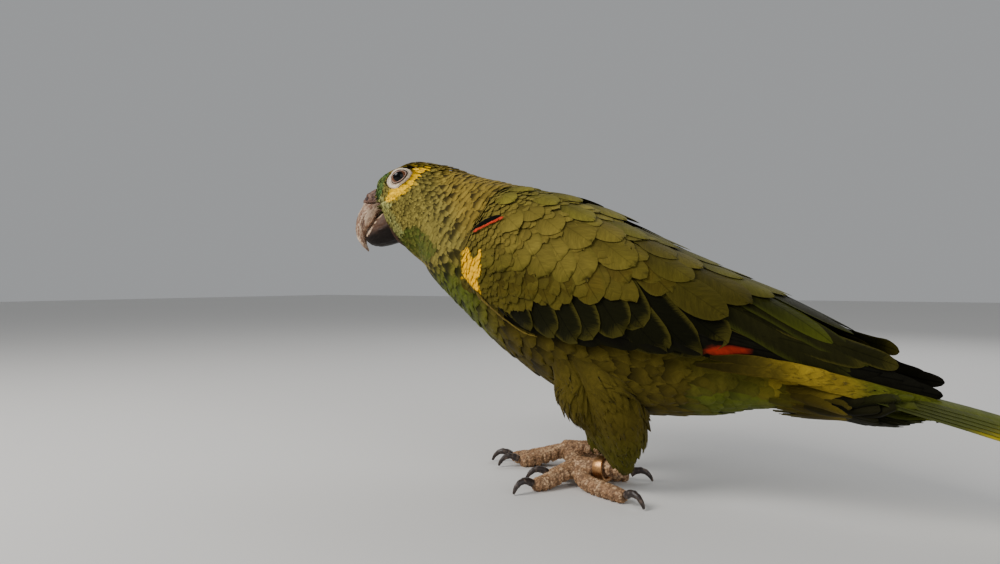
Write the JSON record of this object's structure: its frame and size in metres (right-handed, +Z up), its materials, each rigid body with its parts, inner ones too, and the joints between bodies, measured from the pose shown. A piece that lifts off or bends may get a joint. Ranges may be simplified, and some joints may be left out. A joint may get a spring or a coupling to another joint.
{
  "type": "amazon parrot model",
  "caption": "Life-size standing amazon parrot with folded wings, head turned a little to its left and a plain band on one leg, for display.",
  "frame": {"origin": "bottom centre of the bird's bounding box, at the level of the soles", "axes": "+Z up; the bird faces -X with its tail towards +X, and its left side is -Y"},
  "size_m": [0.3496, 0.0964, 0.1742],
  "materials": {
    "body_plumage": "matt green contour feathers with darker edges",
    "wing_plumage": "matt green wing feathers with a faint sheen",
    "flight_plumage": "blackish green flight feathers with a faint sheen",
    "tail_plumage": "bright green tail feathers with paler tips",
    "leg_skin": "scaly tan skin",
    "claw_horn": "dark polished horn",
    "eye": "wet dark eye",
    "cere_skin": "bare dark skin round the nostrils",
    "bill_horn": "grey horn with pale flaking streaks",
    "bill_dark": "dark grey horn with a pale rim",
    "band_metal": "worn gold coloured leg band"
  },
  "bodies": {
    "root": {"head": "body_plumage", "neck": "body_plumage", "trunk": "body_plumage", "rump": "body_plumage", "thigh_left": "body_plumage", "thigh_right": "body_plumage", "tail": "tail_plumage", "wing_left_coverts": "wing_plumage", "wing_left_secondaries": "wing_plumage", "wing_left_primaries": "flight_plumage", "shank_left": "leg_skin", "eye_left": "eye", "toe_left_outer_front": "leg_skin", "claw_left_outer_front": "claw_horn", "toe_left_inner_front": "leg_skin", "claw_left_inner_front": "claw_horn", "toe_left_outer_rear": "leg_skin", "claw_left_outer_rear": "claw_horn", "toe_left_inner_rear": "leg_skin", "claw_left_inner_rear": "claw_horn", "wing_right_coverts": "wing_plumage", "wing_right_secondaries": "wing_plumage", "wing_right_primaries": "flight_plumage", "shank_right": "leg_skin", "eye_right": "eye", "toe_right_outer_front": "leg_skin", "claw_right_outer_front": "claw_horn", "toe_right_inner_front": "leg_skin", "claw_right_inner_front": "claw_horn", "toe_right_outer_rear": "leg_skin", "claw_right_outer_rear": "claw_horn", "toe_right_inner_rear": "leg_skin", "claw_right_inner_rear": "claw_horn", "cere": "cere_skin", "bill_upper": "bill_horn", "bill_lower": "bill_dark", "leg_ring": "band_metal"}
  },
  "joints": []
}
